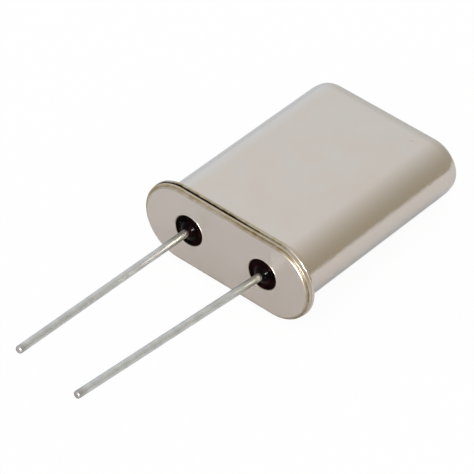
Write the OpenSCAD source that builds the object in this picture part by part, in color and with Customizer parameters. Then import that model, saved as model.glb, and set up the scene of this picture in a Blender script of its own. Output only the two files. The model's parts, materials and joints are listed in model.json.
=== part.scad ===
// Quartz crystal unit in a full-height, two-lead, resistance-welded metal holder.
// Units are millimetres. The origin is the middle of the header's seating face, between the two
// leads. +Y runs up the holder from the seating face, +X runs across both leads, and +Z is the
// flat side that faces up when the unit lies down.

/* [Can] */
// Width of the can's body, across both leads
body_w = 9.82; // [8.1:0.01:12]
// Thickness of the can's body
body_t = 3.48; // [2.9:0.01:4.5]
// Height from the seating face to the can's closed end
height = 13.25; // [10.9:0.05:18]
// Thickness of the drawn sheet
can_wall = 0.17; // [0.12:0.01:0.25]
// Outer radius round the can's closed end
crown_radius = 0.45; // [0.2:0.01:0.6]
// How far the weld flange stands out from the body
flange_overhang = 0.565; // [0.5:0.005:0.8]
// Outer radius of the bend between body and flange
flange_bend = 0.2; // [0.1:0.01:0.24]
// Radius on the edge of the can's flange
flange_edge = 0.06; // [0.02:0.005:0.08]

/* [Header] */
// Height of the pressed plateau over the header's flange
plateau_h = 0.13; // [0.1:0.01:0.2]
// How far the plateau stands in from the edge of the can's flange
plateau_inset = 0.15; // [0.1:0.01:0.25]
// Radius on the plateau's edge
plateau_edge = 0.12; // [0.05:0.01:0.14]
// Thickness of the header's weld flange
header_flange = 0.13; // [0.1:0.01:0.2]
// How far the header's flange stops short of the can's flange
header_shortfall = 0.03; // [0.01:0.005:0.05]
// Width of the open seam between the two flanges
seam_gap = 0.09; // [0.06:0.01:0.12]
// Width of the weld ridge that closes the seam
ridge_w = 0.12; // [0.08:0.01:0.14]
// Thickness of the header through its glass seals
header_t = 1.1; // [0.9:0.05:1.4]
// Gap between the header's plug and the can's inner wall
plug_gap = 0.05; // [0.03:0.01:0.1]
// Bevel round the top of the plug
plug_bevel = 0.15; // [0.05:0.01:0.25]

/* [Glass seals] */
// Diameter of the glass bead in the header
seal_d = 1.78; // [1.4:0.01:2.2]
// How far the glass lies below the metal on both sides
seal_recess = 0.04; // [0.02:0.01:0.08]
// Radius of the glass fillet that climbs the lead
meniscus = 0.27; // [0.15:0.01:0.3]
// Thickness of that fillet where it ends on the lead
meniscus_lip = 0.015; // [0.01:0.005:0.03]

/* [Leads] */
// Distance between the leads at the header
lead_pitch = 4.88; // [4:0.01:5.9]
// Wire diameter
lead_d = 0.43; // [0.35:0.01:0.55]
// Length of the left wire outside the seating face
lead_length_left = 12.87; // [5:0.01:20]
// Length of the right wire outside the seating face
lead_length_right = 13; // [5:0.01:20]
// Length of wire inside the can, past the header
lead_post = 1.1; // [0.9:0.05:1.4]
// Radius on the cut end of the wire
lead_tip = 0.12; // [0.04:0.01:0.16]
// Straight wire between the glass fillet and the bend
bend_start = 0.07; // [0.05:0.01:1]
// Radius of the bend along the wire's middle
bend_radius = 0.6; // [0.4:0.1:2]
// Angle by which the left lead is bent
bend_left = 1; // [0.5:0.1:8]
// Way in which the left lead is bent, turning from +X to +Z
bend_way_left = 90; // [0:1:359]
// Angle by which the right lead is bent
bend_right = 4.5; // [0.5:0.1:8]
// Way in which the right lead is bent, turning from +X to +Z
bend_way_right = 192; // [0:1:359]

/* [Quartz blank] */
// Thickness of the blank
blank_t = 0.41; // [0.25:0.01:0.6]
// Room between the blank's edge and the can's inner wall
blank_side_gap = 0.74; // [0.6:0.01:1]
// Room between the blank and the can's closed end
blank_end_gap = 1; // [0.6:0.05:2]
// Width of the bevel round each face
bevel_w = 0.1; // [0.05:0.01:0.2]
// Depth of that bevel
bevel_h = 0.06; // [0.02:0.01:0.1]
// Diameter of the round part of an electrode
electrode_d = 4.2; // [3:0.1:5]
// Thickness drawn for an electrode, which is really a film
electrode_t = 0.02; // [0.01:0.005:0.03]
// Width of the tab from an electrode to the blank's edge
tab_w = 1; // [0.6:0.05:1.5]

/* [Spring clips] */
// Width of the strip
clip_w = 1.2; // [1.1:0.05:1.6]
// Thickness of the strip
clip_t = 0.1; // [0.06:0.01:0.15]
// How far the blank's edge reaches through the slot
clip_grip = 0.15; // [0.1:0.01:0.3]
// Clearance between the slot and the coated blank
slot_clear = 0.03; // [0.02:0.005:0.06]
// Strip left over above the slot
clip_margin = 0.5; // [0.3:0.05:0.8]
// Slope of the strip between its foot and its arm, from upright
clip_slope = 50; // [35:1:65]
// Radius of the strip's two bends, at its middle
clip_bend = 0.3; // [0.2:0.05:0.4]
// Distance from the header and from the wire's end to the strip's foot
foot_clear = 0.12; // [0.05:0.01:0.2]
// Radius of a dab of cement
cement_r = 0.38; // [0.3:0.01:0.45]

/* [Hidden] */
$fn = 96;
// Overlap that keeps a cut clear of the face it starts from
cut = 0.01;

// Every outline of the holder is a racetrack round the same two centres
end_x = (body_w - body_t) / 2;
body_r = body_t / 2;
inner_r = body_r - can_wall;
flange_r = body_r + flange_overhang;

// Heights over the seating face
header_flange_top = plateau_h + header_flange;
can_base = header_flange_top + seam_gap;
can_flange_top = can_base + can_wall;
inner_top = height - can_wall;

plug_r = inner_r - plug_gap;
plateau_r = flange_r - plateau_inset;
// The weld ridge lies under the middle of the flat part of the can's flange
ridge_r = (body_r + flange_bend + flange_r - flange_edge) / 2;

seal_r = seal_d / 2;
seal_x = lead_pitch / 2;
lead_r = lead_d / 2;
post_top = header_t + lead_post;
// Where the glass fillet ends on the lead, outside the seating face
fillet_end = meniscus - seal_recess;

blank_r = body_w / 2 - can_wall - blank_side_gap;
blank_z = inner_top - blank_end_gap - blank_r;
face_r = blank_r - bevel_w;

foot_x = seal_x + lead_r + clip_t / 2;
arm_x = blank_r - clip_grip - clip_t / 2;
foot_bottom = header_t + foot_clear;
foot_top = post_top - foot_clear;
bend_rise = clip_bend * sin(clip_slope);
bend_shift = clip_bend * (1 - cos(clip_slope));
slope_rise = (arm_x - foot_x - 2 * bend_shift) / tan(clip_slope);
arm_bottom = foot_top + slope_rise + 2 * bend_rise;
slot_t = blank_t + 2 * electrode_t + 2 * slot_clear;
slot_half = sqrt(blank_r * blank_r - pow(arm_x - clip_t / 2, 2)) + slot_clear;
clip_top = blank_z + slot_half + clip_margin;

// ---- helpers: shapes are drawn with the holder standing up, then laid on its flat side ----

// Lays a standing shape down: its height becomes +Y and its near side faces +Z
module lay_down() {
    rotate([-90, 0, 0]) children();
}

// Carries a section, drawn as radius and height, round the racetrack
module racetrack(half) {
    for (turn = [0, 180])
        rotate(turn) translate([half, 0, 0]) rotate(-90) rotate_extrude(angle = 180) children();
    rotate([90, 0, 90]) linear_extrude(height = 2 * half, center = true) {
        children();
        mirror([1, 0]) children();
    }
}

// What a rounding of radius r takes off a square corner at the origin
module corner(r) {
    difference() {
        translate([-cut, -cut]) square(r + cut);
        translate([r, r]) circle(r);
    }
}

// A strip of section from the axis out to r, its outer edge rounded below and above
module rounded_layer(r, bottom, top, edge_below, edge_above) {
    difference() {
        translate([0, bottom]) square([r, top - bottom]);
        if (edge_below > 0) translate([r, bottom]) mirror([1, 0]) corner(edge_below);
        if (edge_above > 0) translate([r, top]) rotate(180) corner(edge_above);
    }
}

// ---- can ----

// Outer face of the can: body with a rounded end, flange, and the fillet between them
module can_outside() {
    rounded_layer(body_r, can_base, height, 0, crown_radius);
    rounded_layer(flange_r, can_base, can_flange_top, flange_edge, flange_edge);
    difference() {
        translate([body_r - cut, can_flange_top - cut]) square(flange_bend + cut);
        translate([body_r + flange_bend, can_flange_top + flange_bend]) circle(flange_bend);
    }
}

// Inner face of the can, with its mouth flared by the bend
module can_inside() {
    mouth = flange_bend + can_wall;
    rounded_layer(inner_r, can_base - cut, inner_top, 0, max(crown_radius - can_wall, cut));
    difference() {
        translate([inner_r - cut, can_base - cut]) square(mouth + cut);
        translate([inner_r + mouth, can_base + mouth]) circle(mouth);
    }
}

module can() {
    color("#C6BFB7") lay_down() racetrack(end_x) difference() {
        can_outside();
        can_inside();
    }
}

// ---- header ----

// Plateau, weld flange, weld ridge and plug, from the seating face up
module header_section() {
    rounded_layer(plateau_r, 0, plateau_h + cut, plateau_edge, 0);
    rounded_layer(flange_r - header_shortfall, plateau_h, header_flange_top, header_flange / 3,
                  header_flange / 3);
    translate([ridge_r - ridge_w / 2, header_flange_top - cut]) square([ridge_w, seam_gap + cut]);
    polygon([[0, header_flange_top - cut], [plug_r, header_flange_top - cut],
             [plug_r, header_t - plug_bevel], [plug_r - plug_bevel, header_t], [0, header_t]]);
}

// Hole for a glass bead, its outer edge broken down to the glass
module seal_hole() {
    translate([0, 0, -cut]) cylinder(r = seal_r, h = header_t + 2 * cut);
    translate([0, 0, -cut]) cylinder(r1 = seal_r + seal_recess + cut, r2 = seal_r, h = seal_recess + cut);
}

module header() {
    color("#B3A9A5") lay_down() difference() {
        racetrack(end_x) header_section();
        for (side = [-1, 1]) translate([side * seal_x, 0, 0]) seal_hole();
    }
}

// ---- glass seals ----

// Bead with a bore for the lead and a concave fillet that climbs it
module glass_seal() {
    rotate_extrude() {
        translate([lead_r, seal_recess]) square([seal_r - lead_r, header_t - 2 * seal_recess]);
        difference() {
            translate([lead_r, -fillet_end]) square([meniscus + meniscus_lip, meniscus + cut]);
            translate([lead_r + meniscus_lip + meniscus, -fillet_end]) circle(meniscus);
        }
    }
}

module glass_seal_left() {
    color("#1A0A0C") lay_down() translate([-seal_x, 0, 0]) glass_seal();
}

module glass_seal_right() {
    color("#1A0A0C") lay_down() translate([seal_x, 0, 0]) glass_seal();
}

// ---- leads ----

// Wire that ends rounded, running down from the origin
module cut_wire(length) {
    translate([0, 0, lead_tip - length]) cylinder(r = lead_r, h = length - lead_tip);
    translate([0, 0, -length]) rotate_extrude() {
        square([lead_r - lead_tip, lead_tip]);
        intersection() {
            translate([lead_r - lead_tip, lead_tip]) circle(lead_tip);
            square([lead_r, lead_tip]);
        }
    }
}

// Wire that is straight through the header, bent just outside the glass, and straight to its end
module lead(length, bend, bend_way) {
    start = fillet_end + bend_start;
    arc_length = bend_radius * bend * PI / 180;
    translate([0, 0, -start]) cylinder(r = lead_r, h = start + post_top);
    rotate(-bend_way) translate([bend_radius, 0, -start]) {
        rotate([90, 0, 0]) rotate(180) rotate_extrude(angle = bend)
            translate([bend_radius, 0]) circle(lead_r);
        rotate([0, -bend, 0]) translate([-bend_radius, 0, 0]) cut_wire(length - start - arc_length);
    }
}

module lead_left() {
    color("#B0B0A8") lay_down() translate([-seal_x, 0, 0])
        lead(lead_length_left, bend_left, bend_way_left);
}

module lead_right() {
    color("#B0B0A8") lay_down() translate([seal_x, 0, 0])
        lead(lead_length_right, bend_right, bend_way_right);
}

// ---- spring clips ----
// The inside is the same again when turned half round the height, so each clip, electrode and dab
// of cement is drawn once, on the +X side, and turned for the left

// Points on a round bend from one angle to another
function bend_points(x, z, r, from, to, steps = 12) =
    [for (i = [0 : steps]) let (a = from + (to - from) * i / steps) [x + r * cos(a), z + r * sin(a)]];

// One face of the bent strip, offset s outward from its middle, from foot to top
function clip_side(s) = concat(
    [[foot_x + s, foot_bottom]],
    bend_points(foot_x + clip_bend, foot_top, clip_bend - s, 180, 180 - clip_slope),
    bend_points(arm_x - clip_bend, arm_bottom, clip_bend + s, -clip_slope, 0),
    [[arm_x + s, clip_top]]);

function backwards(points) = [for (i = [len(points) - 1 : -1 : 0]) points[i]];

// Strip with its foot on the wire and its slotted arm round the blank's edge
module spring_clip() {
    difference() {
        rotate([90, 0, 0]) linear_extrude(height = clip_w, center = true)
            polygon(concat(clip_side(clip_t / 2), backwards(clip_side(-clip_t / 2))));
        translate([arm_x, 0, blank_z]) cube([3 * clip_t, slot_t, 2 * slot_half], center = true);
    }
}

module spring_clip_left() {
    color("#A8A49A") lay_down() rotate(180) spring_clip();
}

module spring_clip_right() {
    color("#A8A49A") lay_down() spring_clip();
}

// ---- quartz blank and electrodes ----

// Round disc with both edges bevelled, its faces turned to the can's flat sides
module blank() {
    half = blank_t / 2;
    translate([0, 0, blank_z]) rotate([90, 0, 0]) rotate_extrude()
        polygon([[0, -half], [face_r, -half], [blank_r, bevel_h - half], [blank_r, half - bevel_h],
                 [face_r, half], [0, half]]);
}

module quartz_blank() {
    color("#DDE6E8") lay_down() blank();
}

// Silver disc on the blank's near face, with a tab to the blank's edge
module electrode() {
    translate([0, -(blank_t + electrode_t) / 2, blank_z]) rotate([90, 0, 0]) intersection() {
        union() {
            cylinder(d = electrode_d, h = electrode_t, center = true);
            translate([face_r / 2, 0, 0]) cube([face_r, tab_w, electrode_t], center = true);
        }
        cylinder(r = face_r, h = 2 * electrode_t, center = true);
    }
}

module electrode_front() {
    color("#D8D6CF") lay_down() electrode();
}

module electrode_back() {
    color("#D8D6CF") lay_down() rotate(180) electrode();
}

// ---- cement ----

// Dab that fills the slot and covers the tab's end; it gives way to the blank, film and strip
module cement() {
    difference() {
        translate([arm_x, -blank_t / 2, blank_z]) rotate(180) sphere(cement_r);
        blank();
        electrode();
        spring_clip();
    }
}

module cement_left() {
    color("#8E8A80") lay_down() rotate(180) cement();
}

module cement_right() {
    color("#8E8A80") lay_down() cement();
}

can();
header();
glass_seal_left();
glass_seal_right();
lead_left();
lead_right();
spring_clip_left();
spring_clip_right();
quartz_blank();
electrode_front();
electrode_back();
cement_left();
cement_right();
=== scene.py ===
"""Quartz crystal unit in a welded metal holder: its looks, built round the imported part.

Shapes are worked out in millimetres in the part's own frame, in which +Y runs up the can from the
header's seating face, +X runs across the leads and +Z is the flat side that faces up. The can, the
header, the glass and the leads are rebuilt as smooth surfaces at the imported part's sizes. What is
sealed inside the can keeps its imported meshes.
"""

import json
import math

import bmesh
import bpy
import numpy as np
from mathutils import Matrix, Vector


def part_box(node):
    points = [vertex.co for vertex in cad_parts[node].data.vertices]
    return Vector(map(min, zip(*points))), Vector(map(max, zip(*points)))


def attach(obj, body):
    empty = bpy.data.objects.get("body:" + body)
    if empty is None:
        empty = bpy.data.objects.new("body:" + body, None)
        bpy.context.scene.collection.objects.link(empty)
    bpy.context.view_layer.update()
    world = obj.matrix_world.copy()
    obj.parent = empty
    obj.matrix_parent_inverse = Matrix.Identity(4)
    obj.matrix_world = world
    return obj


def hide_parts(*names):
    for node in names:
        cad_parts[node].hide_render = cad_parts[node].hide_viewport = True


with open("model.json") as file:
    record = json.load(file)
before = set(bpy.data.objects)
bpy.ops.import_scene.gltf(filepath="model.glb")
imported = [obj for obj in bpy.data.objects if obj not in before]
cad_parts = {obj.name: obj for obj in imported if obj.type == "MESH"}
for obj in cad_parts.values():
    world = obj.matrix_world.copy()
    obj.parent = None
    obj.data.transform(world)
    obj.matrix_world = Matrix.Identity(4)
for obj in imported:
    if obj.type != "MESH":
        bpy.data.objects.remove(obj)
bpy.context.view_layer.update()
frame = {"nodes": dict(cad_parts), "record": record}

MM = 0.001  # metres in a millimetre
SAME_PLACE = 1e-6  # millimetres
JOIN_WITHIN = 1e-4  # millimetres
mounts = {mount["name"]: mount for mount in frame["record"]["mounts"]}


def box_mm(node):
    """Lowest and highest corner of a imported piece, in millimetres."""
    low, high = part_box(node)
    return np.array(low) / MM, np.array(high) / MM


# ---- sizes in millimetres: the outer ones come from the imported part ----

can_low, can_high = box_mm("can")
_, header_high = box_mm("header")
seal_low, seal_high = box_mm("glass_seal_right")
_, lead_high = box_mm("lead_right")

FLANGE_R = can_high[2]  # the flange's rounded ends
END_X = can_high[0] - FLANGE_R  # the centres that every outline of the holder goes round
BODY_R = mounts["can_flat_side"]["pos_m"][2] / MM
CAN_BASE = can_low[1]
CAN_TOP = can_high[1]
CAN_WALL = 0.17
CROWN_RADIUS = 0.36
CROWN_INSIDE_RADIUS = 0.05
EASE_RADIUS = 1.8  # the sides draw in gently before they turn over into the crown
EASE_HEIGHT = 0.63
EASE_DRAW = 0.122
FLANGE_BEND = 0.2
FLANGE_EDGE = 0.06

HEADER_R = header_high[2]
HEADER_T = header_high[1]
PLATEAU_H = 0.13
PLATEAU_R = FLANGE_R - 0.15  # the ledge left round it is the weld flange
PLATEAU_EDGE = 0.12
HEADER_FLANGE_TOP = 0.26
HEADER_EDGE = 0.043
STEP_FILLET = 0.03
FACE_MARGIN = 0.05  # flat left between a face's rounded edge and its pierced middle
RIDGE_R = (BODY_R + FLANGE_BEND + FLANGE_R - FLANGE_EDGE) / 2  # middle of the can flange's flat
RIDGE_W = 0.12
WELD_RUN = 0.1  # how far the weld ridge swells towards the edge
WELD_FROM, WELD_TO = -1.0, 3.4  # and between which places along X it does
PLUG_R = BODY_R - CAN_WALL - 0.05  # a slip fit in the can
PLUG_BEVEL = 0.15
PLUG_EDGE = 0.02

SEAL_X = (seal_low[0] + seal_high[0]) / 2
SEAL_R = (seal_high[0] - seal_low[0]) / 2
SEAL_RECESS = 0.04
SEAL_CLIMB = -seal_low[1]  # how far outside the seating face the glass climbs the lead
GLASS_LIP = 0.015
GLASS_GAP = 0.002  # hairline between glass and metal, so that their faces don't coincide
GLASS_EDGE = 0.01
GLASS_DOME = [(0.29, -0.205, 0.15), (0.42, -0.11, 0.9), (0.55, SEAL_RECESS, 0.2)]  # radius, y, rounding
GLASS_POLISHED_R = 0.53  # where the dome's fire-polished face ends
HOLE_LIP_W = 0.05  # raised lip that the punch left round each hole
HOLE_LIP_H = 0.015
HOLE_EASE = 0.004  # how far the bevel behind the lip bulges
HOLE_LAND = 0.02  # straight start of the wall behind the bevel

LEAD_R = mounts["lead_right_pin"]["dims"]["r_mm"]
LEAD_TOP = lead_high[1]
LEAD_TIP = 0.12
LEAD_BEND_RADIUS = 0.6


# ---- surfaces ----


def rounded_section(corners, pitch=0.15, arc_steps=8, shoulder=0.012):
    """Section through corners of (radius, height, rounding).

    Each corner is replaced by the arc of its rounding that touches both sides. Arc points are
    centre + rounding * (a sin((1-t)w) + b sin(t w)) / sin(w), where a and b point from the centre
    to where the arc touches, w is the angle between them and t runs from 0 to 1. Long sides are
    then divided at the pitch, with one point close by each arc so that flat sides shade flat.
    """
    corners = np.array(corners, float)
    points = [corners[:1, :2]]
    t = np.linspace(0, 1, arc_steps + 1)[:, None]
    for before, (r, h, rounding), after in zip(corners, corners[1:], corners[2:]):
        corner = np.array([r, h])
        if rounding == 0:
            points.append(corner[None])
            continue
        to_before, to_after = before[:2] - corner, after[:2] - corner
        to_before, to_after = to_before / np.hypot(*to_before), to_after / np.hypot(*to_after)
        half = math.acos(np.clip(to_before @ to_after, -1, 1)) / 2
        middle = (to_before + to_after) / np.hypot(*(to_before + to_after))
        centre = corner + middle * rounding / math.sin(half)
        a = (corner + to_before * rounding / math.tan(half) - centre) / rounding
        b = (corner + to_after * rounding / math.tan(half) - centre) / rounding
        w = math.pi - 2 * half
        points.append(centre + rounding * (a * np.sin((1 - t) * w) + b * np.sin(t * w)) / math.sin(w))
    points.append(corners[-1:, :2])
    points = np.concatenate(points)
    step = np.hypot(*np.diff(points, axis=0).T)
    points = points[np.concatenate([[True], step > SAME_PLACE])]
    step = np.hypot(*np.diff(points, axis=0).T)
    along = np.concatenate([[0], np.cumsum(step)])
    sides = np.flatnonzero(step > 4 * shoulder)
    extra = [np.linspace(along[i] + shoulder, along[i + 1] - shoulder,
                         max(2, int(step[i] / pitch))) for i in sides]
    along_all = np.unique(np.concatenate([along, *extra]))
    return np.stack([np.interp(along_all, along, points[:, k]) for k in (0, 1)], 1)


def racetrack(straight_steps=42, arc_steps=48):
    """Centres and outward directions round the racetrack, from the middle of the +Z side by way of +X.

    On the straights the direction is +Z or -Z and the centre slides; on the ends the centre is at
    END_X or -END_X and the direction turns evenly by half a circle.
    """
    slide = np.linspace(0, END_X, straight_steps // 2 + 1)
    turn = np.linspace(0, math.pi, arc_steps + 1)
    centre = np.concatenate([slide[:-1], np.full(arc_steps + 1, END_X), slide[::-1][1:]])
    out = np.concatenate([np.tile([0.0, 1.0], (len(slide) - 1, 1)),
                          np.stack([np.sin(turn), np.cos(turn)], 1),
                          np.tile([0.0, -1.0], (len(slide) - 1, 1))])
    centre = np.concatenate([centre, -centre[1:-1]])
    out = np.concatenate([out, -out[1:-1]])
    return centre, out


def swept_round(section, swell=0.0):
    """Grid of a section carried round the racetrack.

    Each point is centre + (radius + swell) * outward, at the section's height.
    """
    centre, out = racetrack()
    radius, height = section[:, 0] + swell, section[:, 1]
    x = centre[:, None] + radius * out[:, :1]
    z = radius * out[:, 1:]
    return np.stack([x, np.broadcast_to(height, x.shape), z], 2)


def face_rings(outline_r, seam_steps=24):
    """Outlines of the two halves of a racetrack face, cut at x = 0: points (x, z), +X half first."""
    centre, out = racetrack()
    x, z = centre + outline_r * out[:, 0], outline_r * out[:, 1]
    half = len(x) // 2
    seam = np.linspace(-outline_r, outline_r, seam_steps + 1)[1:-1]
    right = np.concatenate([np.stack([x, z], 1)[:half + 1], np.stack([0 * seam, seam], 1)])
    return right, -right


def pierced_face(outline_r, height, hole_r):
    """Grids of a flat racetrack face with two round holes, one grid round each hole.

    Each point lies on the straight line from the hole's rim to the half face's outline, on the ray
    from the hole's middle: rim + (outline - rim) * t, for t from 0 to 1. The first and last steps
    are short, so that the face shades flat up to its edges.
    """
    t = np.array([0, 0.02, 0.1, 0.25, 0.45, 0.65, 0.85, 0.98, 1.0])[:, None, None]
    grids = []
    for ring, side in zip(face_rings(outline_r), (1, -1)):
        middle = np.array([side * SEAL_X, 0])
        ray = ring - middle
        rim = middle + hole_r * ray / np.hypot(*ray.T)[:, None]
        flat = rim + (ring - rim) * t
        grids.append(np.stack([flat[..., 0], np.full(flat.shape[:2], height), flat[..., 1]], 2))
    return grids


def hole_wall(side, face_outline, far_outline):
    """Grid of a hole's lip, bevel and wall: circle points at the radius and height of each step.

    The lip stands out of the face by lip height * sin(pi * u), for u from 0 to 1 across its width.
    From ring to ring the angles go evenly from those of one face's grid to those of the other's, so
    that the wall meets both.
    """
    u = np.linspace(0, 1, 11)
    lip = np.stack([SEAL_R + SEAL_RECESS + HOLE_LIP_W * (1 - u), -HOLE_LIP_H * np.sin(math.pi * u)], 1)
    bevel_and_wall = [
        (SEAL_R + SEAL_RECESS / 2, SEAL_RECESS / 2 - HOLE_EASE), (SEAL_R, SEAL_RECESS),
        (SEAL_R, SEAL_RECESS + HOLE_LAND), (SEAL_R, HEADER_T)]
    steps = np.concatenate([lip, bevel_and_wall])
    index = 0 if side > 0 else 1
    middle = np.array([side * SEAL_X, 0])
    near, far = (face_rings(r)[index] - middle for r in (face_outline, far_outline))
    near_angle, far_angle = (np.unwrap(np.arctan2(v[:, 1], v[:, 0])) for v in (near, far))
    share = (steps[:, 1] / HEADER_T)[:, None]
    angle = near_angle * (1 - share) + far_angle * share
    r = steps[:, :1]
    return np.stack([middle[0] + r * np.cos(angle), np.broadcast_to(steps[:, 1:], angle.shape),
                     r * np.sin(angle)], 2)


def turned(section, x, turns=96):
    """Grid of a section of (radius, height) turned about the line parallel to Y through x."""
    angle = np.linspace(0, 2 * math.pi, turns, endpoint=False)[:, None]
    return np.stack([x + section[:, 0] * np.cos(angle),
                     np.broadcast_to(section[:, 1], (turns, len(section))),
                     section[:, 0] * np.sin(angle)], 2)


def wire(path, radius, turns=48):
    """Grid of a round wire: path + radius * (side cos(a) + across sin(a)), a from 0 to a full turn.

    Side is the path's direction crossed with X, made a unit vector, and across is side crossed
    with the direction, so that the tube doesn't twist. Each end is closed to the path's last point.
    """
    along = np.gradient(path, axis=0)
    along /= np.linalg.norm(along, axis=1)[:, None]
    side = np.cross(along, [1, 0, 0])
    side /= np.linalg.norm(side, axis=1)[:, None]
    across = np.cross(side, along)
    angle = np.linspace(0, 2 * math.pi, turns, endpoint=False)[:, None, None]
    tube = path + radius[:, None] * (side * np.cos(angle) + across * np.sin(angle))
    ends = [np.broadcast_to(path[k], (turns, 1, 3)) for k in (0, -1)]
    return np.concatenate([ends[0], tube, ends[1]], 1)


def bent_lead(mount, root_x):
    """Path and radius of a lead: straight through the header, an arc, and straight to its cut end.

    The arc's points are start + R (1 - cos a) u - R sin(a) Y, for a from 0 to the bend's angle, where
    u is the way of the bend. The end is rounded: radius = flat + tip * cos(b), at tip * sin(b) past
    the straight run, for b from 0 to a quarter turn.
    """
    direction = np.array(mount["axis"])
    middle = np.array(mount["pos_m"]) / MM
    half = mount["dims"]["length_mm"] / 2
    straight = middle - direction * half
    bend = math.acos(-direction[1])
    way = direction * [1, 0, 1] / math.sin(bend)
    after_arc = 0.02
    bend_y = straight[1] + LEAD_BEND_RADIUS * math.sin(bend)
    inside = np.linspace(LEAD_TOP, bend_y, 40)[:-1, None] * [0, 1, 0]
    a = np.linspace(0, bend, 9)[:, None]
    arc = LEAD_BEND_RADIUS * (1 - np.cos(a)) * way + (bend_y - LEAD_BEND_RADIUS * np.sin(a)) * [0, 1, 0]
    run = np.linspace(after_arc, 2 * half, 120)[:, None] * direction + arc[-1]
    b = np.linspace(0, math.pi / 2, 10)[1:]
    tip = run[-1] + LEAD_TIP * np.sin(b)[:, None] * direction
    shaft = np.concatenate([inside, arc, run])
    flat = LEAD_R - LEAD_TIP
    path = np.concatenate([shaft, tip]) + [root_x, 0, 0]
    radius = np.concatenate([np.full(len(shaft), LEAD_R), flat + LEAD_TIP * np.cos(b)])
    return path, radius


# ---- meshes ----


def grid_faces(rows, columns, first, closed_rows, closed_columns):
    """Four-cornered faces between neighbouring points of a grid, joined round where it is closed."""
    i = np.arange(rows if closed_rows else rows - 1)[:, None]
    j = np.arange(columns if closed_columns else columns - 1)
    a, b = i * columns + j, i * columns + (j + 1) % columns
    c, d = (i + 1) % rows * columns + (j + 1) % columns, (i + 1) % rows * columns + j
    return np.stack([a, b, c, d], 2).reshape(-1, 4) + first


def solid_from(name, grids):
    """One closed, smooth mesh from grids of (points in mm, closed rows, closed columns).

    Points that lie together are joined, which closes seams and poles. Faces are then turned outward.
    """
    points, faces, first = [], [], 0
    for grid, closed_rows, closed_columns in grids:
        rows, columns = grid.shape[:2]
        points.append(grid.reshape(-1, 3) * MM)
        faces.append(grid_faces(rows, columns, first, closed_rows, closed_columns))
        first += rows * columns
    mesh = bpy.data.meshes.new(name)
    mesh.from_pydata(np.concatenate(points).tolist(), [], np.concatenate(faces).tolist())
    work = bmesh.new()
    work.from_mesh(mesh)
    bmesh.ops.remove_doubles(work, verts=work.verts, dist=JOIN_WITHIN * MM)
    bmesh.ops.recalc_face_normals(work, faces=work.faces)
    work.to_mesh(mesh)
    work.free()
    mesh.shade_smooth()
    piece = bpy.data.objects.new(name, mesh)
    bpy.context.scene.collection.objects.link(piece)
    return piece


def make_can():
    """Drawn can: one wall, outside and inside, with a rounded closed end and a bent weld flange."""
    inner_r, inner_top = BODY_R - CAN_WALL, CAN_TOP - CAN_WALL
    flange_top = CAN_BASE + CAN_WALL
    section = rounded_section([
        (0, inner_top, 0), (inner_r, inner_top, CROWN_INSIDE_RADIUS),
        (inner_r, CAN_BASE, FLANGE_BEND + CAN_WALL), (FLANGE_R, CAN_BASE, FLANGE_EDGE),
        (FLANGE_R, flange_top, FLANGE_EDGE), (BODY_R, flange_top, FLANGE_BEND),
        (BODY_R, CAN_TOP - EASE_HEIGHT, EASE_RADIUS), (BODY_R - EASE_DRAW, CAN_TOP, CROWN_RADIUS),
        (0, CAN_TOP, 0)])
    return solid_from("can_shell", [(swept_round(section), True, False)])


def make_header():
    """Stamped header: plateau, weld flange, weld ridge and plug, pierced for the two glass beads.

    The ridge's outer side swells to fill the seam towards +X, by WELD_RUN * (3 t^2 - 2 t^3), where t
    goes from 0 to 1 between WELD_FROM and WELD_TO along X.
    """
    near_outline = PLATEAU_R - PLATEAU_EDGE - FACE_MARGIN
    far_outline = PLUG_R - PLUG_BEVEL - FACE_MARGIN
    section = rounded_section([
        (near_outline, 0, 0), (PLATEAU_R, 0, PLATEAU_EDGE), (PLATEAU_R, PLATEAU_H, STEP_FILLET),
        (HEADER_R, PLATEAU_H, HEADER_EDGE), (HEADER_R, HEADER_FLANGE_TOP, HEADER_EDGE),
        (RIDGE_R + RIDGE_W / 2, HEADER_FLANGE_TOP, 0), (RIDGE_R + RIDGE_W / 2, CAN_BASE, 0),
        (RIDGE_R - RIDGE_W / 2, CAN_BASE, 0), (RIDGE_R - RIDGE_W / 2, HEADER_FLANGE_TOP, 0),
        (PLUG_R, HEADER_FLANGE_TOP, PLUG_EDGE), (PLUG_R, HEADER_T - PLUG_BEVEL, PLUG_EDGE),
        (PLUG_R - PLUG_BEVEL, HEADER_T, PLUG_EDGE), (far_outline, HEADER_T, 0)])
    near = pierced_face(near_outline, 0, SEAL_R + SEAL_RECESS + HOLE_LIP_W)
    far = pierced_face(far_outline, HEADER_T, SEAL_R)
    walls = [hole_wall(side, near_outline, far_outline) for side in (1, -1)]
    centre, out = racetrack()
    t = np.clip((centre + RIDGE_R * out[:, 0] - WELD_FROM) / (WELD_TO - WELD_FROM), 0, 1)[:, None]
    on_ridge = np.abs(section[:, 0] - RIDGE_R - RIDGE_W / 2) < SAME_PLACE
    swell = WELD_RUN * (3 * t ** 2 - 2 * t ** 3) * on_ridge
    grids = [(swept_round(section, swell), True, False)]
    grids += [(grid, False, True) for grid in near + far + walls]
    return solid_from("header_plate", grids)


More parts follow.
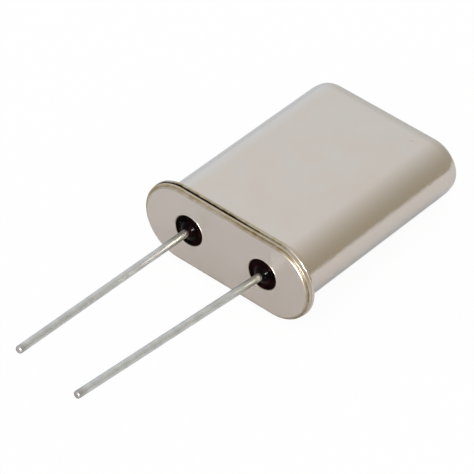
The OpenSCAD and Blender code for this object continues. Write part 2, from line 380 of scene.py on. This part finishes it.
def make_seal(side):
    """Glass bead: a low dome that rises from its foot ring in the hole to the lead, which it climbs.

    The dome takes the second of the bead's two finishes.
    """
    section = rounded_section([
        (LEAD_R, HEADER_T / 2, 0), (LEAD_R, -SEAL_CLIMB, 0), (LEAD_R + GLASS_LIP, -SEAL_CLIMB, 0),
        *GLASS_DOME, (SEAL_R - GLASS_GAP, SEAL_RECESS, GLASS_EDGE),
        (SEAL_R - GLASS_GAP, HEADER_T - SEAL_RECESS, GLASS_EDGE), (LEAD_R, HEADER_T - SEAL_RECESS, 0),
        (LEAD_R, HEADER_T / 2, 0)], arc_steps=16)
    name = "glass_bead_right" if side > 0 else "glass_bead_left"
    bead = solid_from(name, [(turned(section, side * SEAL_X), True, False)])
    middles = np.zeros(len(bead.data.polygons) * 3)
    bead.data.polygons.foreach_get("center", middles)
    x, y, z = middles.reshape(-1, 3).T / MM
    domed = (np.hypot(x - side * SEAL_X, z) < GLASS_POLISHED_R) & (y < SEAL_RECESS)
    bead.data.polygons.foreach_set("material_index", domed.astype(np.int32))
    return bead


def make_lead(side):
    """Round wire lead, bent just outside the glass to its mount's direction."""
    name = "right" if side > 0 else "left"
    path, radius = bent_lead(mounts[f"lead_{name}_pin"], side * SEAL_X)
    return solid_from(f"wire_lead_{name}", [(wire(path, radius), True, False)])


# ---- finishes ----


def linear(hex_colour):
    """Linear colour of an sRGB hex value."""
    srgb = np.array([int(hex_colour[i:i + 2], 16) / 255 for i in (1, 3, 5)])
    return (*np.where(srgb <= 0.04045, srgb / 12.92, ((srgb + 0.055) / 1.055) ** 2.4), 1.0)


def add(tree, kind, inputs=None, stops=(), **settings):
    """Adds a node with its settings, its colour stops and its inputs.

    An input that is another node's socket is linked, and any other is set.
    """
    node = tree.nodes.new(kind)
    for name, value in settings.items():
        setattr(node, name, value)
    for index, (place, colour) in enumerate(stops):
        if index > 1:
            node.color_ramp.elements.new(1.0)
        node.color_ramp.elements[index].position = place
        node.color_ramp.elements[index].color = linear(colour)
    for name, value in (inputs or {}).items():
        if isinstance(value, bpy.types.NodeSocket):
            tree.links.new(value, node.inputs[name])
        else:
            node.inputs[name].default_value = value
    return node


def new_material(name):
    """Empty node material, its tree and its output."""
    material = bpy.data.materials.new(name)
    material.use_nodes = True
    material.node_tree.nodes.clear()
    return material, material.node_tree, add(material.node_tree, "ShaderNodeOutputMaterial")


# Colours by the seam, by the height in millimetres over the seating face: where the seam is deep and
# black, where it is straw-coloured, and where it is filled and bright. Part of them is what the weld
# leaves on the plate and part is painted light. The yellowing of the plateau's rounded edge, below
# 0.13 mm, is heat tint together with a painted warm reflection. The darker line from 0.128 to 0.14 mm is
# painted shade in the concave step between plateau and flange. The slow fade up the can from 0.9 mm to
# SEAM_TOP is painted warm shade next to the flange.
SEAM_TOP = 1.13  # no tint above this
SEAM_DEEP = [
    (0.0, "#FFFFFF"), (0.008, "#CEC6B4"), (0.06, "#D2CAB2"), (0.1, "#D0C6A8"), (0.128, "#C4B482"),
    (0.14, "#E0D4B0"), (0.16, "#F8F2DC"), (0.245, "#EADCA8"), (0.26, "#120900"), (0.37, "#120900"),
    (0.385, "#C6B684"), (0.9, "#E6DECC"), (1.0, "#EEEADF"), (SEAM_TOP, "#FFFFFF")]
SEAM_STRAW = [
    (0.0, "#FFFFFF"), (0.008, "#C8C0AC"), (0.06, "#CCC2A2"), (0.1, "#BEB088"), (0.128, "#9C8A54"),
    (0.14, "#C8BA8C"), (0.16, "#F4EED8"), (0.23, "#E8DEB8"), (0.25, "#988C58"), (0.34, "#988C58"),
    (0.37, "#D0C69C"), (0.9, "#E6E0CC"), (1.0, "#EEEADF"), (SEAM_TOP, "#FFFFFF")]
# SEAM_FILLED's low part, up to 0.14 mm, is darkened further: painted shade that holds down the lamps'
# highlights on the plateau's rounded edge at +X.
SEAM_FILLED = [
    (0.0, "#FFFFFF"), (0.01, "#E4DDCC"), (0.1, "#DDD5C0"), (0.12, "#C0B488"), (0.132, "#A09260"),
    (0.14, "#C0B488"), (0.155, "#FFFFFF"), (0.5, "#FFFFFF"), (0.9, "#F8F4EA"), (SEAM_TOP, "#FFFFFF")]


def weld_tint_and_painted_shade(tree, place, colour):
    """Straw-coloured heat tint beside the seam, black in it where the seam lies deep, and painted shade
    and a painted warm reflection round it.

    It goes by the height over the seating face. Along X the seam is deep and black first, then
    straw-coloured, and filled and bright round the end at +X. Heat spread unevenly, so the tint is
    full in some places and half in others, some 0.4 mm apart.
    """
    axes = add(tree, "ShaderNodeSeparateXYZ", {0: place})
    height = add(tree, "ShaderNodeMapRange", {
        "Value": axes.outputs["Y"], "From Min": 0.0, "From Max": SEAM_TOP * MM})
    # The ramps mix heat tint with painted shade and a painted warm reflection (see the seam colours
    # above).
    deep, straw, filled = (
        add(tree, "ShaderNodeValToRGB", {0: height.outputs["Result"]},
            [(y / SEAM_TOP, shade) for y, shade in seam]).outputs[0]
        for seam in (SEAM_DEEP, SEAM_STRAW, SEAM_FILLED))
    shallow = add(tree, "ShaderNodeMapRange", {
        "Value": axes.outputs["X"], "From Min": -0.4 * MM, "From Max": 1.6 * MM},
        interpolation_type="SMOOTHSTEP")
    full = add(tree, "ShaderNodeMapRange", {
        "Value": axes.outputs["X"], "From Min": 3.1 * MM, "From Max": 3.9 * MM},
        interpolation_type="SMOOTHSTEP")
    tint = add(tree, "ShaderNodeMix", {
        "Factor": shallow.outputs["Result"], 6: deep, 7: straw}, data_type="RGBA")
    tint = add(tree, "ShaderNodeMix", {
        "Factor": full.outputs["Result"], 6: tint.outputs[2], 7: filled}, data_type="RGBA")
    heat = add(tree, "ShaderNodeTexNoise", {"Vector": place, "Scale": 1 / (0.4 * MM), "Detail": 4.0})
    share = add(tree, "ShaderNodeMapRange", {
        "Value": heat.outputs["Fac"], "From Min": 0.35, "From Max": 0.65, "To Min": 0.5, "To Max": 1.0})
    return add(tree, "ShaderNodeMix", {
        "Factor": share.outputs["Result"], 6: colour, 7: tint.outputs[2]},
        data_type="RGBA", blend_type="MULTIPLY").outputs[2]


def nickel_plate(name, cool, warm, scuffed, edge, roughness, grain_mm, grain_depth_mm):
    """Satin nickel plate over stamped or drawn sheet, with the seam weld's heat tint and the painted
    shade by the seam.

    The tone drifts from cool to warm in patches of about 2 mm and away from the crown. Towards +X it
    goes warm as a painted reflection of the room's dim, warm side. The sheet's own grain shows through
    it as a satin that breaks up the edges of what it mirrors. The real grain is about 0.02 mm, too fine
    to show, so it is drawn at grain_mm. Handling has left small dull scuffs with ragged edges, 2 to 3 mm
    apart. Seen almost edge-on, the plate takes the edge colour.
    """
    material, tree, output = new_material(name)
    place = add(tree, "ShaderNodeTexCoord").outputs["Object"]
    patches = add(tree, "ShaderNodeTexNoise", {"Vector": place, "Scale": 1 / (2.0 * MM), "Detail": 2.0})
    axes = add(tree, "ShaderNodeSeparateXYZ", {0: place})
    drift = add(tree, "ShaderNodeMapRange", {
        "Value": axes.outputs["Y"], "From Min": 1 * MM, "From Max": 12 * MM, "To Min": 0.0,
        "To Max": -0.2})
    # Warmer towards +X: a painted reflection of the room's dim, warm side.
    towards_warm_side = add(tree, "ShaderNodeMapRange", {
        "Value": axes.outputs["X"], "From Min": 1.5 * MM, "From Max": 4.5 * MM, "To Min": 0.0,
        "To Max": 0.4})
    share = add(tree, "ShaderNodeMath", {
        0: patches.outputs["Fac"], 1: drift.outputs["Result"]}, operation="ADD")
    share = add(tree, "ShaderNodeMath", {
        0: share.outputs[0], 1: towards_warm_side.outputs["Result"]}, operation="ADD", use_clamp=True)
    tone = add(tree, "ShaderNodeMix", {
        "Factor": share.outputs[0], 6: linear(cool), 7: linear(warm)}, data_type="RGBA")
    knocks = add(tree, "ShaderNodeTexVoronoi", {"Vector": place, "Scale": 1 / (2.6 * MM)})
    ragged = add(tree, "ShaderNodeTexNoise", {"Vector": place, "Scale": 1 / (0.12 * MM), "Detail": 3.0})
    near = add(tree, "ShaderNodeMath", {
        0: ragged.outputs["Fac"], 1: 0.12, 2: knocks.outputs["Distance"]}, operation="MULTIPLY_ADD")
    scuff = add(tree, "ShaderNodeMapRange", {
        "Value": near.outputs[0], "From Min": 0.085, "From Max": 0.11, "To Min": 0.4, "To Max": 0.0})
    tone = add(tree, "ShaderNodeMix", {
        "Factor": scuff.outputs["Result"], 6: tone.outputs[2], 7: linear(scuffed)}, data_type="RGBA")
    grain = add(tree, "ShaderNodeTexNoise", {
        "Vector": place, "Scale": 1 / (grain_mm * MM), "Detail": 3.0, "Roughness": 0.8})
    bump = add(tree, "ShaderNodeBump", {
        "Height": grain.outputs["Fac"], "Strength": 1.0, "Distance": grain_depth_mm * MM})
    shader = add(tree, "ShaderNodeBsdfPrincipled", {
        "Base Color": weld_tint_and_painted_shade(tree, place, tone.outputs[2]), "Metallic": 1.0, "Roughness": roughness,
        "Normal": bump.outputs[0], "Specular Tint": linear(edge)})
    tree.links.new(shader.outputs[0], output.inputs["Surface"])
    return material


def dipped_wire():
    """Wire dipped in tin: smooth by the glass, pale, mottled and dull further out, with dip marks.

    A near-white band just outside the glass is a painted highlight: the glint on the lead's root. The
    last half millimetre is darker, where the shears left the cut end bare.
    """
    material, tree, output = new_material("hot_dipped_tin_on_wire")
    place = add(tree, "ShaderNodeTexCoord").outputs["Object"]
    axes = add(tree, "ShaderNodeSeparateXYZ", {0: place})
    near = add(tree, "ShaderNodeMapRange", {
        "Value": axes.outputs["Y"], "From Min": -2.8 * MM, "From Max": -0.6 * MM},
        interpolation_type="SMOOTHSTEP")
    patches = add(tree, "ShaderNodeTexNoise", {"Vector": place, "Scale": 1 / (0.5 * MM), "Detail": 2.0})
    tone = add(tree, "ShaderNodeMix", {
        "Factor": patches.outputs["Fac"], 6: linear("#A8AAAA"), 7: linear("#D4D6D6")}, data_type="RGBA")
    tone = add(tree, "ShaderNodeMix", {
        "Factor": near.outputs["Result"], 6: tone.outputs[2], 7: linear("#A2A59C")}, data_type="RGBA")
    # Near-white band by the glass: a painted highlight for the glint on the lead's root.
    painted_root_glint = add(tree, "ShaderNodeMapRange", {
        "Value": axes.outputs["Y"], "From Min": -0.6 * MM, "From Max": -0.42 * MM})
    tone = add(tree, "ShaderNodeMix", {
        "Factor": painted_root_glint.outputs["Result"], 6: tone.outputs[2], 7: linear("#FAF8F4")}, data_type="RGBA")
    cut = add(tree, "ShaderNodeMapRange", {
        "Value": axes.outputs["Y"], "From Min": -12.95 * MM, "From Max": -12.3 * MM, "To Min": 0.75,
        "To Max": 0.0})
    tone = add(tree, "ShaderNodeMix", {
        "Factor": cut.outputs["Result"], 6: tone.outputs[2], 7: linear("#8E8684")}, data_type="RGBA")
    roughness = add(tree, "ShaderNodeMapRange", {
        "Value": near.outputs["Result"], "To Min": 0.5, "To Max": 0.31})
    marks = add(tree, "ShaderNodeTexNoise", {
        "Vector": place, "Scale": 1 / (0.25 * MM), "Detail": 3.0, "Roughness": 0.6})
    bump = add(tree, "ShaderNodeBump", {
        "Height": marks.outputs["Fac"], "Strength": 1.0, "Distance": 0.004 * MM})
    shader = add(tree, "ShaderNodeBsdfPrincipled", {
        "Base Color": tone.outputs[2], "Metallic": 1.0, "Roughness": roughness.outputs["Result"],
        "Normal": bump.outputs[0], "Specular Tint": linear("#D0D0D0")})
    tree.links.new(shader.outputs[0], output.inputs["Surface"])
    return material


def dark_glass(name, gloss):
    """Compression-seal glass, fused dark red-brown: nearly black, opaque and very smooth.

    Bubbles of about 0.05 mm near its face show as grey specks, painted as the glints of light they
    catch, and the glass looks redder in patches of about half a millimetre, where it is clearer. Its
    mirrored light is held down, by gloss, to the near-black that such a bead shows in its hole.
    """
    material, tree, output = new_material(name)
    place = add(tree, "ShaderNodeTexCoord").outputs["Object"]
    clear = add(tree, "ShaderNodeTexNoise", {"Vector": place, "Scale": 1 / (0.6 * MM), "Detail": 1.0})
    tone = add(tree, "ShaderNodeValToRGB", {0: clear.outputs["Fac"]}, [
        (0.42, "#020000"), (0.62, "#1A0404")])
    bubbles = add(tree, "ShaderNodeTexVoronoi", {"Vector": place, "Scale": 1 / (0.3 * MM)})
    # Grey specks: painted glints on bubbles near the glass's face.
    painted_bubble_glint = add(tree, "ShaderNodeMapRange", {
        "Value": bubbles.outputs["Distance"], "From Min": 0.06, "From Max": 0.1, "To Min": 1.0,
        "To Max": 0.0})
    seen = add(tree, "ShaderNodeMix", {
        "Factor": painted_bubble_glint.outputs["Result"], 6: tone.outputs[0], 7: linear("#5A504C")}, data_type="RGBA")
    shader = add(tree, "ShaderNodeBsdfPrincipled", {
        "Base Color": seen.outputs[2], "Metallic": 0.0, "Roughness": 0.05, "IOR": 1.5,
        "Specular IOR Level": gloss})
    tree.links.new(shader.outputs[0], output.inputs["Surface"])
    return material


def rolled_strip():
    """Nickel alloy strip, rolled and slit: grey, with a satin of about 0.05 mm from the rolls."""
    material, tree, output = new_material("rolled_nickel_alloy_strip")
    place = add(tree, "ShaderNodeTexCoord").outputs["Object"]
    patches = add(tree, "ShaderNodeTexNoise", {"Vector": place, "Scale": 1 / (1.0 * MM), "Detail": 2.0})
    tone = add(tree, "ShaderNodeMix", {
        "Factor": patches.outputs["Fac"], 6: linear("#A09C92"), 7: linear("#A8A49A")}, data_type="RGBA")
    grain = add(tree, "ShaderNodeTexNoise", {"Vector": place, "Scale": 1 / (0.05 * MM), "Detail": 3.0})
    bump = add(tree, "ShaderNodeBump", {
        "Height": grain.outputs["Fac"], "Strength": 1.0, "Distance": 0.0004 * MM})
    shader = add(tree, "ShaderNodeBsdfPrincipled", {
        "Base Color": tone.outputs[2], "Metallic": 1.0, "Roughness": 0.3, "Normal": bump.outputs[0]})
    tree.links.new(shader.outputs[0], output.inputs["Surface"])
    return material


def silver_film():
    """Silver evaporated on the quartz: bright, and as fine-grained as the lapped face under it."""
    material, tree, output = new_material("evaporated_silver_film")
    place = add(tree, "ShaderNodeTexCoord").outputs["Object"]
    grain = add(tree, "ShaderNodeTexNoise", {"Vector": place, "Scale": 1 / (0.05 * MM), "Detail": 3.0})
    tone = add(tree, "ShaderNodeMix", {
        "Factor": grain.outputs["Fac"], 6: linear("#D2D0C8"), 7: linear("#DEDCD6")}, data_type="RGBA")
    bump = add(tree, "ShaderNodeBump", {
        "Height": grain.outputs["Fac"], "Strength": 1.0, "Distance": 0.0001 * MM})
    shader = add(tree, "ShaderNodeBsdfPrincipled", {
        "Base Color": tone.outputs[2], "Metallic": 1.0, "Roughness": 0.12, "Normal": bump.outputs[0]})
    tree.links.new(shader.outputs[0], output.inputs["Surface"])
    return material


def lapped_quartz():
    """Quartz lapped and etched for its thickness: a frosted, faintly grey-green disc."""
    material, tree, output = new_material("lapped_and_etched_quartz")
    place = add(tree, "ShaderNodeTexCoord").outputs["Object"]
    haze = add(tree, "ShaderNodeTexNoise", {"Vector": place, "Scale": 1 / (1.2 * MM), "Detail": 2.0})
    tone = add(tree, "ShaderNodeMix", {
        "Factor": haze.outputs["Fac"], 6: linear("#D3DBD9"), 7: linear("#DFE6E6")}, data_type="RGBA")
    pits = add(tree, "ShaderNodeTexNoise", {"Vector": place, "Scale": 1 / (0.03 * MM), "Detail": 2.0})
    bump = add(tree, "ShaderNodeBump", {
        "Height": pits.outputs["Fac"], "Strength": 1.0, "Distance": 0.001 * MM})
    shader = add(tree, "ShaderNodeBsdfPrincipled", {
        "Base Color": tone.outputs[2], "Roughness": 0.42, "IOR": 1.54, "Transmission Weight": 0.5,
        "Normal": bump.outputs[0]})
    tree.links.new(shader.outputs[0], output.inputs["Surface"])
    return material


def silver_cement():
    """Epoxy filled with silver flake, cured in a dab: grey, half metallic and grainy."""
    material, tree, output = new_material("cured_silver_cement")
    place = add(tree, "ShaderNodeTexCoord").outputs["Object"]
    flakes = add(tree, "ShaderNodeTexNoise", {
        "Vector": place, "Scale": 1 / (0.03 * MM), "Detail": 3.0, "Roughness": 0.7})
    tone = add(tree, "ShaderNodeMix", {
        "Factor": flakes.outputs["Fac"], 6: linear("#6E6A62"), 7: linear("#A8A49A")}, data_type="RGBA")
    bump = add(tree, "ShaderNodeBump", {
        "Height": flakes.outputs["Fac"], "Strength": 1.0, "Distance": 0.004 * MM})
    shader = add(tree, "ShaderNodeBsdfPrincipled", {
        "Base Color": tone.outputs[2], "Metallic": 0.5, "Roughness": 0.5, "Normal": bump.outputs[0]})
    tree.links.new(shader.outputs[0], output.inputs["Surface"])
    return material


# ---- pieces ----

can_nickel = nickel_plate(
    "satin_nickel_plate_on_drawn_sheet", cool="#C8C5C0", warm="#CABFB5", scuffed="#B0AA9C",
    edge="#E6ECF2", roughness=0.16, grain_mm=0.28, grain_depth_mm=0.012)
header_nickel = nickel_plate(
    "satin_nickel_plate_on_stamped_steel", cool="#BEB7B1", warm="#BBB2AB", scuffed="#B0A8A0",
    edge="#F0F0F0", roughness=0.36, grain_mm=0.2, grain_depth_mm=0.0006)
tinned = dipped_wire()
glass = (dark_glass("fused_seal_glass", gloss=0.01),
         dark_glass("fire_polished_seal_glass", gloss=0.035))
strip, quartz, silver, cement = rolled_strip(), lapped_quartz(), silver_film(), silver_cement()

for piece, node, slot, finish in [
        (make_can(), "can", "can_sheet", [can_nickel]),
        (make_header(), "header", "header_plate", [header_nickel]),
        (make_seal(-1), "glass_seal_left", "seal_glass", glass),
        (make_seal(1), "glass_seal_right", "seal_glass", glass),
        (make_lead(-1), "lead_left", "lead_wire", [tinned]),
        (make_lead(1), "lead_right", "lead_wire", [tinned])]:
    for material in finish:
        piece.data.materials.append(material)
    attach(piece, "root")
    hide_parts(node)

for node, finish in [("spring_clip_left", strip), ("spring_clip_right", strip), ("quartz_blank", quartz),
                     ("electrode_front", silver), ("electrode_back", silver),
                     ("cement_left", cement), ("cement_right", cement)]:
    frame["nodes"][node].data.materials.clear()
    frame["nodes"][node].data.materials.append(finish)

# ---- floor, light and camera ----

STUDIO_R = 1500  # half of the paper's side, and the light tent's radius
LEAN_REACH = 40.0  # how far the paper's lean goes before it levels out
CARD_NEAR, CARD_FAR = 35, 1400  # the dim card's near edge along X, and its far edge and half length
CARD_LIFT = 0.05
# The studio's colours are linear, because the sky is brighter than a hex value can say.
WHITE = (1, 1, 1, 1)
PAPER = (0.8, 0.8, 0.8, 1)
WINDOW_SKY = (1.05, 1.12, 1.2, 1)
DIM_CLOTH = (0.515, 0.48, 0.38, 1)
SHADED = (0.8, 0.8, 0.8, 1)


def seen_share(tree, by_camera, by_metal):
    """Share of a surface that shows as plain white. The rest shows as it is lit.

    It is one share for rays from the camera and another for rays that metal or glass sends on.
    """
    path = add(tree, "ShaderNodeLightPath")
    sent_on = add(tree, "ShaderNodeMath", {
        0: path.outputs["Is Glossy Ray"], 1: path.outputs["Is Transmission Ray"]}, operation="MAXIMUM")
    metal = add(tree, "ShaderNodeMath", {0: sent_on.outputs[0], 1: by_metal}, operation="MULTIPLY")
    return add(tree, "ShaderNodeMath", {
        0: path.outputs["Is Camera Ray"], 1: by_camera, 2: metal.outputs[0]},
        operation="MULTIPLY_ADD", use_clamp=True).outputs[0]


def thinning_out(half_side):
    """Places across a sheet, close together in its middle.

    Each is half side * sinh(u) / sinh(6), for u from -6 to 6.
    """
    return np.sinh(np.linspace(-6, 6, 121)) / math.sinh(6) * half_side


def laid_sheet(name, across, along, lift=0.0):
    """Sheet under the unit. It leans to meet the flange and the can's far edge, on which the unit rests.

    Height = flange's lowest point + slope * reach * tanh((y - flange's y) / reach) + lift, so that it
    is level again some way off.
    """
    slope = (FLANGE_R - BODY_R) / (CAN_TOP - CROWN_RADIUS / 2 - CAN_BASE)
    x, y = np.meshgrid(across, along, indexing="ij")
    z = -FLANGE_R + slope * LEAN_REACH * np.tanh((y - CAN_BASE) / LEAN_REACH) + lift
    grid = np.stack([x, y, z], 2)
    mesh = bpy.data.meshes.new(name)
    faces = grid_faces(*x.shape, 0, False, False)[:, ::-1]
    mesh.from_pydata((grid.reshape(-1, 3) * MM).tolist(), [], faces.tolist())
    mesh.shade_smooth()
    sheet = bpy.data.objects.new(name, mesh)
    bpy.context.scene.collection.objects.link(sheet)
    return sheet


def make_floor():
    """White paper, pale enough to lose its edge in the white all round."""
    floor = laid_sheet("paper_floor", thinning_out(STUDIO_R), thinning_out(STUDIO_R))
    material, tree, output = new_material("white_paper")
    matt = add(tree, "ShaderNodeBsdfDiffuse", {"Color": PAPER})
    white = add(tree, "ShaderNodeEmission", {"Color": WHITE, "Strength": 1.0})
    mix = add(tree, "ShaderNodeMixShader", {
        "Fac": seen_share(tree, by_camera=0.95, by_metal=0.22), 1: matt.outputs[0], 2: white.outputs[0]})
    tree.links.new(mix.outputs[0], output.inputs["Surface"])
    floor.data.materials.append(material)


def make_card():
    """Dim card on the paper towards +X, which only metal and glass see.

    It widens the dark band that the can's rounded end mirrors.
    """
    card = laid_sheet("dim_card", np.array([CARD_NEAR, CARD_FAR]), thinning_out(CARD_FAR), CARD_LIFT)
    material, tree, output = new_material("dim_card_stock")
    lit = add(tree, "ShaderNodeEmission", {"Color": DIM_CLOTH, "Strength": 1.0})
    tree.links.new(lit.outputs[0], output.inputs["Surface"])
    card.data.materials.append(material)
    card.visible_camera = card.visible_diffuse = card.visible_shadow = False


def make_world():
    """White all round."""
    world = bpy.data.worlds.new("studio")
    bpy.context.scene.world = world
    world.use_nodes = True
    tree = world.node_tree
    tree.nodes.clear()
    white = add(tree, "ShaderNodeBackground", {"Color": WHITE, "Strength": 1.0})
    output = add(tree, "ShaderNodeOutputWorld")
    tree.links.new(white.outputs[0], output.inputs["Surface"])


def make_tent():
    """Light tent that only metal and glass see.

    Its cloth is bluish on the window's side, at -X, white next to that, and dim and warm towards +X.
    Behind the unit, at +Y, it is a fifth darker. Points are radius * (cos(e) cos(a), cos(e) sin(a),
    sin(e)), for a full turn of a and e from the floor to the top.
    """
    turns, rises = 96, 24
    a = np.linspace(0, 2 * math.pi, turns, endpoint=False)[:, None]
    e = np.linspace(0, math.pi / 2, rises + 1)
    grid = STUDIO_R * np.stack([np.cos(e) * np.cos(a), np.cos(e) * np.sin(a), np.sin(e) + 0 * a], 2)
    grid[..., 2] -= FLANGE_R
    tent = solid_from("light_tent", [(grid, True, False)])
    material, tree, output = new_material("lit_tent_cloth")
    radius = STUDIO_R * MM
    axes = add(tree, "ShaderNodeSeparateXYZ", {0: add(tree, "ShaderNodeTexCoord").outputs["Object"]})
    towards_warm_side = add(tree, "ShaderNodeMapRange", {
        "Value": axes.outputs["X"], "From Min": -0.45 * radius, "From Max": 0.8 * radius})
    sky = add(tree, "ShaderNodeMapRange", {
        "Value": axes.outputs["X"], "From Min": -0.95 * radius, "From Max": -0.5 * radius})
    behind = add(tree, "ShaderNodeMapRange", {
        "Value": axes.outputs["Y"], "From Min": 0.62 * radius, "From Max": 0.92 * radius})
    cloth = add(tree, "ShaderNodeMix", {
        "Factor": towards_warm_side.outputs["Result"], 6: WHITE, 7: DIM_CLOTH}, data_type="RGBA")
    cloth = add(tree, "ShaderNodeMix", {
        "Factor": sky.outputs["Result"], 6: WINDOW_SKY, 7: cloth.outputs[2]}, data_type="RGBA")
    cloth = add(tree, "ShaderNodeMix", {
        "Factor": behind.outputs["Result"], 6: cloth.outputs[2], 7: SHADED},
        data_type="RGBA", blend_type="MULTIPLY")
    lit = add(tree, "ShaderNodeEmission", {"Color": cloth.outputs[2], "Strength": 1.0})
    tree.links.new(lit.outputs[0], output.inputs["Surface"])
    tent.data.materials.append(material)
    tent.visible_camera = tent.visible_diffuse = tent.visible_shadow = False


def make_lamp(name, towards, distance, side, brightness, mirrored):
    """Square lamp that faces the part from a direction.

    Either it is mirrored in metal and glass and lights nothing else, or it isn't and lights the rest.
    Its energy is brightness * pi * its area, so that its face is as bright at any size.
    """
    data = bpy.data.lights.new(name, "AREA")
    data.shape = "RECTANGLE"
    data.size = data.size_y = side * MM
    data.energy = brightness * math.pi * data.size * data.size_y
    lamp = bpy.data.objects.new(name, data)
    way = Vector(towards).normalized()
    lamp.location = way * distance * MM
    lamp.rotation_euler = (-way).to_track_quat("-Z", "Y").to_euler()
    lamp.visible_camera = False
    lamp.visible_diffuse = not mirrored
    lamp.visible_glossy = mirrored
    bpy.context.scene.collection.objects.link(lamp)


def make_camera(azimuth, elevation, roll, distance, aim, lens):
    """Camera that looks at a point from an azimuth and elevation, rolled about its line of sight.

    At azimuth 0 it stands at -Y, and from there it goes round towards +X. The lens is the focal
    length over a sensor 36 mm wide.
    """
    a, e, r = (math.radians(v) for v in (azimuth, elevation, roll))
    back = Vector((math.sin(a) * math.cos(e), -math.cos(a) * math.cos(e), math.sin(e)))
    right = Vector((math.cos(a), math.sin(a), 0))
    up = back.cross(right)
    across = math.cos(r) * right + math.sin(r) * up
    over = math.cos(r) * up - math.sin(r) * right
    data = bpy.data.cameras.new("camera")
    data.lens, data.sensor_width = lens, 36
    camera = bpy.data.objects.new("camera", data)
    place = Vector(aim) * MM + back * distance * MM
    camera.matrix_world = Matrix((across, over, back)).transposed().to_4x4()
    camera.location = place
    bpy.context.scene.collection.objects.link(camera)
    bpy.context.scene.camera = camera


make_floor()
make_card()
make_world()
make_tent()
make_lamp("front_window", towards=(0.43, -0.76, 0.45), distance=400, side=440, brightness=1.05,
          mirrored=True)
make_lamp("bulb", towards=(0.49, -0.8, 0.35), distance=300, side=44, brightness=240, mirrored=True)
make_lamp("ceiling_lamp", towards=(-0.1, 0.1, 1), distance=500, side=500, brightness=0.6,
          mirrored=False)
bpy.context.scene.view_settings.view_transform = "Standard"
make_camera(azimuth=37.03, elevation=40.456, roll=4.561, distance=192.46, aim=(-0.352, 1.376, 0),
            lens=286.5)
